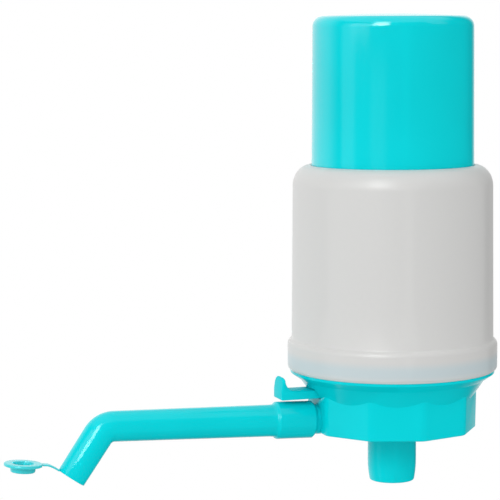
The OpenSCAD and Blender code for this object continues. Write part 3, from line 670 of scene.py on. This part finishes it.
def makeStopper():
    p = plug
    face = tube["leg"] + p["gap"]
    centre = openPlace(0, face)
    axis = openPlace(0, face + 1) - centre
    r, t, inR, plugR = p["flangeR"], p["flangeT"], p["recessR"], p["plugR"]
    low, deep = -p["plugL"], t - p["recessDepth"]
    outline = [(0, low), (plugR - 0.5, low), (plugR - 0.25, low + 0.25), (plugR, -0.1), (plugR + 0.1, 0),
               (r - 0.3, 0), (r - 0.08, 0.1), (r, 0.35), (r, t - 0.35), (r - 0.08, t - 0.1), (r - 0.3, t),
               (inR + 0.3, t), (inR + 0.08, t - 0.08), (inR, t - 0.3), (inR, deep + 0.4), (inR - 0.4, deep),
               (0, deep)]
    return turnShape("spoutStopper", outline, 72, centre, axis)


place(makeStopper(), "stopper", "spout", stopperFinish, "spout_stopper")


def makeStrap():
    p = plug
    leg, hingeX = tube["leg"], p["hingeX"]
    line = [legPlace(p["rootR"] - 0.1, leg - 0.1), legPlace(p["rootR"] + 1.6, leg - 0.1),
            legPlace(hingeX - 1.6, leg), legPlace(hingeX - 0.6, leg + 0.1),
            openPlace(hingeX - 0.6, leg + 0.55), openPlace(hingeX - 1.5, leg + 0.6),
            openPlace(p["flangeR"] + 0.1, leg + 0.6)]
    # its cross-section at the root is drawn along the line
    root, first = line[0], line[1] - line[0]
    side = Vector((0, p["strapW"] / 2, 0))
    up = Vector((-first.z, 0, first.x)).normalized() * (p["strapT"] / 2)
    if up.z < 0:
        up = -up
    clearSelection()
    bpy.ops.mesh.primitive_plane_add(size=1, location=(0, 0, 0))
    strap = settle(bpy.context.object, "stopperStrap")
    corners = (root + up - side, root + up + side, root - up - side, root - up + side)
    for vertex, corner in zip(strap.data.vertices, corners):
        vertex.co = corner * mm
    editAll(strap)
    for a, b in zip(line, line[1:]):
        bpy.ops.mesh.extrude_region_move(TRANSFORM_OT_translate={"value": (b - a) * mm})
    finishMesh(strap, 40)
    apply(strap, "BEVEL", width=0.2 * mm, segments=2, limit_method="ANGLE", angle_limit=math.radians(60))
    apply(strap, "SUBSURF", levels=2, render_levels=2)
    return finishMesh(strap, 60)


strap = makeStrap()
cover(strap, stopperFinish)
legPlace(plug["hingeX"] - 1.8, tube["leg"]) * mm
openPlace(plug["hingeX"] - 1.2, tube["leg"] + 0.6) * mm
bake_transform(strap)
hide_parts("stopper_strap")
print("made", strap.name)


folds = {"outR": 30.0, "inR": 24.6, "count": 14, "wall": 0.9, "cuffR": 26.0, "cuffIn": 24.3, "cuffH": 6.0,
         "low": 27.35, "high": 168.45, "stroke": 55.0}


def makeBellows():
    b = folds
    start, end = b["low"] + b["cuffH"], b["high"] - b["cuffH"]
    pitch = (end - start) / b["count"]
    rootR = b["inR"] + b["wall"]
    outer, inner = [], []
    for i in range(b["count"]):
        z = start + i * pitch
        outer += [(rootR, z), (rootR + 0.5, z + pitch * 0.1), (b["outR"] - 0.5, z + pitch * 0.4),
                  (b["outR"], z + pitch * 0.46), (b["outR"], z + pitch * 0.54),
                  (b["outR"] - 0.5, z + pitch * 0.6), (rootR + 0.5, z + pitch * 0.9)]
        inner += [(b["inR"], z), (b["outR"] - b["wall"] * 1.4, z + pitch * 0.5)]
    outline = [(b["cuffIn"], b["low"]), (b["cuffR"], b["low"]), (b["cuffR"], start - 0.6)] + outer
    outline += [(rootR, end), (b["cuffR"], end + 0.6), (b["cuffR"], b["high"]), (b["cuffIn"], b["high"]),
                (b["cuffIn"], end + 0.4), (b["inR"], end)]
    outline += inner[::-1] + [(b["cuffIn"], start - 0.4), (b["cuffIn"], b["low"])]
    return turnShape("bellows", outline, 72)


bellows = makeBellows()
cover(bellows, softFinish)
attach(bellows, "pump")
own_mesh(bellows)
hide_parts("bellows")
print("made bellows")


# anchor: height of the bellows seat's under side, which the squash leaves in place
spring = {"x": 19.0, "low": 22.77, "high": 24.58, "anchor": 24.9, "radius": 1.9, "wire": 0.29,
          "turns": 2.25, "lift": 0.6}


def makeSpring():
    s = spring
    coil = startRing("ventSpring", (s["radius"], 0, s["low"]), (0, 1, 0), s["wire"], 12)
    apply(coil, "SCREW", axis="Z", angle=math.tau * s["turns"], screw_offset=(s["high"] - s["low"]) * mm,
          steps=80, render_steps=80)
    editAll(coil)
    bpy.ops.mesh.fill_holes(sides=0)
    bpy.ops.mesh.select_all(action="SELECT")
    bpy.ops.transform.translate(value=(-s["x"] * mm, 0, 0))
    return finishMesh(coil, 50)


ventSpring = makeSpring()
cover(ventSpring, steelFinish)
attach(ventSpring, "pump")
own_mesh(ventSpring)
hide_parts("vent_spring")
print("made ventSpring")


# the solids that are shown as they are
carriedOver = {
    softFinish: ("bellows_lid", "bellows_clamp", "bellows_seat", "neck_grip_ring"),
    rubberFinish: ("inlet_valve", "outlet_valve", "stem_seal", "neck_gasket", "vent_plug", "spout_seal"),
    baseFinish: ("water_duct",),
    steelFinish: ("vent_lever_pin",),
}
for finish, nodes in carriedOver.items():
    for node in nodes:
        cover(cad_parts[node], finish)
print("carried-over parts finished")


# lengths in metres; open is the direction in which the light tent has its dim front
studio = {"floorZ": -0.15, "floorSize": 1.1, "fade": (0.20, 0.42), "world": 0.82, "bounce": 0.93,
          "open": (0.191, -0.982, 0.0), "tent": (-0.8, -0.4), "wall": 1.15, "openGlow": 0.02,
          "roof": (0.62, 0.8)}

# a side panel, a tall softbox and a low board: angles left of the camera, and heights as directions
boards = (
    {"left": 66.0, "half": 10.5, "soft": 2.5, "low": -0.6, "high": 0.6, "fade": 0.2, "glow": 0.75},
    {"left": 18.3, "half": 11.5, "soft": 1.5, "low": 0.22, "high": 0.80, "fade": 0.04, "glow": 13.0},
    {"left": 20.5, "half": 10.0, "soft": 4.0, "low": -0.075, "high": -0.010, "fade": 0.02, "glow": 0.8},
)

lamps = {
    "keyLamp": {"where": (-1.6, -0.6, 0.7), "target": (0, 0, 0.08), "size": 0.9, "power": 5},
    "frontLamp": {"where": (-0.97, -1.2, 0.8), "target": (0, 0, 0.12), "size": 0.4, "power": 3.2},
    "fillLamp": {"where": (1.1, -0.9, 1.1), "target": (0, 0, 0.08), "size": 0.8, "power": 1.5},
}

# the viewing angle of the photograph: distance and height of the eye, and where it looks
eye = {"distance": 928.47, "height": 173.38, "side": 22.0, "pan": -3.773, "down": 5.981, "roll": -0.222,
       "lens": 156.38}


def makeFloor():
    clearSelection()
    bpy.ops.mesh.primitive_plane_add(size=studio["floorSize"], location=(0, 0, studio["floorZ"]))
    floor = settle(bpy.context.object, "floor")
    pale = Finish("paleFloor", (0.9, 0.9, 0.9), 0.9, 0.0)
    # the floor keeps its shadow near the pump and turns to plain white further out
    reach = pale.node("ShaderNodeVectorMath", {"operation": "LENGTH"}, {0: pale.place}, "Value")
    far = pale.span(reach, *studio["fade"])
    seen = pale.node("ShaderNodeLightPath", {}, {}, "Is Camera Ray")
    white = pale.node("ShaderNodeEmission", {}, {"Color": (1, 1, 1, 1), "Strength": 1.0})
    shadowed = Signal(pale, pale.shader.outputs[0])
    mixed = pale.node("ShaderNodeMixShader", {}, {0: (far * seen).clamped(), 1: shadowed, 2: white})
    # from below and in reflections the floor is clear, and it throws light up at the pump
    under = pale.node("ShaderNodeNewGeometry", {}, {}, "Backfacing")
    shiny = pale.node("ShaderNodeLightPath", {}, {}, "Is Glossy Ray")
    bounced = pale.node("ShaderNodeLightPath", {}, {}, "Is Diffuse Ray")
    glow = pale.node("ShaderNodeEmission", {}, {"Color": (1, 1, 1, 1), "Strength": studio["bounce"]})
    mixed = pale.node("ShaderNodeMixShader", {}, {0: bounced, 1: mixed, 2: glow})
    clear = pale.node("ShaderNodeBsdfTransparent", {}, {"Color": (1, 1, 1, 1)})
    mixed = pale.node("ShaderNodeMixShader", {}, {0: (under + shiny).clamped(), 1: mixed, 2: clear})
    pale.tree.links.new(mixed.socket, pale.tree.nodes["Material Output"].inputs[0])
    cover(floor, pale)


def makeLamp(name, where, target, size, power):
    clearSelection()
    bpy.ops.object.light_add(type="AREA", location=where)
    lamp = bpy.context.object
    lamp.name = name
    lamp.rotation_euler = (Vector(target) - Vector(where)).to_track_quat("-Z", "Y").to_euler()
    lamp.data.size = size
    lamp.data.energy = power


def makeWorld():
    # white behind and beside the pump, dim behind the camera, as in a light tent with an open front
    world = bpy.data.worlds.new("studio")
    bpy.context.scene.world = world
    world.use_nodes = True
    tree = world.node_tree

    def node(kind, values, **settings):
        made = tree.nodes.new(kind)
        for key, value in settings.items():
            setattr(made, key, value)
        for key, value in values.items():
            if isinstance(value, bpy.types.NodeSocket):
                tree.links.new(value, made.inputs[key])
            else:
                made.inputs[key].default_value = value
        return made.outputs

    def maths(operation, first, second):
        return node("ShaderNodeMath", {0: first, 1: second}, operation=operation)[0]

    def facing(first, second):
        return node("ShaderNodeVectorMath", {0: first, 1: second}, operation="DOT_PRODUCT")["Value"]

    def span(value, low, high, toLow=0.0, toHigh=1.0):
        values = {"Value": value, "From Min": low, "From Max": high, "To Min": toLow, "To Max": toHigh}
        return node("ShaderNodeMapRange", values, interpolation_type="SMOOTHSTEP")["Result"]

    direction = node("ShaderNodeTexCoord", {})["Generated"]
    walls = span(facing(direction, studio["open"]), *studio["tent"], studio["wall"], studio["openGlow"])
    up = node("ShaderNodeSeparateXYZ", {0: direction})["Z"]
    tent = maths("MAXIMUM", walls, span(up, *studio["roof"]))
    level = node("ShaderNodeVectorMath", {0: direction, 1: (1, 1, 0)}, operation="MULTIPLY")["Vector"]
    level = node("ShaderNodeVectorMath", {0: level}, operation="NORMALIZE")["Vector"]
    for board in boards:
        toward = math.radians(-90.0 - eye["side"] - board["left"])
        across = facing(level, (math.cos(toward), math.sin(toward), 0))
        faint = math.cos(math.radians(board["half"] + board["soft"]))
        full = math.cos(math.radians(board["half"] - board["soft"]))
        shape = span(across, faint, full)
        shape = maths("MULTIPLY", shape, span(up, board["low"], board["low"] + board["fade"]))
        shape = maths("MULTIPLY", shape, span(up, board["high"], board["high"] - board["fade"]))
        tent = maths("MAXIMUM", tent, maths("MULTIPLY", shape, board["glow"]))
    path = node("ShaderNodeLightPath", {})
    plain = maths("MAXIMUM", path["Is Camera Ray"], path["Is Transmission Ray"])
    shiny = maths("MULTIPLY", path["Is Glossy Ray"], tent)
    soft = maths("MULTIPLY", path["Is Diffuse Ray"], studio["world"])
    light = tree.nodes["Background"]
    light.inputs["Color"].default_value = (1, 1, 1, 1)
    tree.links.new(maths("MAXIMUM", maths("ADD", shiny, soft), plain), light.inputs["Strength"])


def makeCamera():
    pan, down, roll, side = (math.radians(eye[key]) for key in ("pan", "down", "roll", "side"))
    forward = Vector((math.sin(pan) * math.cos(down), math.cos(pan) * math.cos(down), -math.sin(down)))
    right = forward.cross(Vector((0, 0, 1))).normalized()
    up = right.cross(forward)
    right, up = right * math.cos(roll) + up * math.sin(roll), up * math.cos(roll) - right * math.sin(roll)
    about = Matrix.Rotation(-side, 3, "Z")
    turned = Matrix((about @ right, about @ up, about @ -forward)).transposed()
    stand = about @ Vector((0, -eye["distance"], eye["height"])) * mm
    bpy.ops.object.camera_add()
    camera = bpy.context.object
    camera.matrix_world = Matrix.Translation(stand) @ turned.to_4x4()
    camera.data.lens = eye["lens"]
    camera.data.sensor_width = 36
    camera.data.clip_start = 0.01
    bpy.context.scene.camera = camera


makeFloor()
makeWorld()
for name, settings in lamps.items():
    makeLamp(name, **settings)
makeCamera()
bpy.context.scene.view_settings.view_transform = "Standard"
print("studio ready")
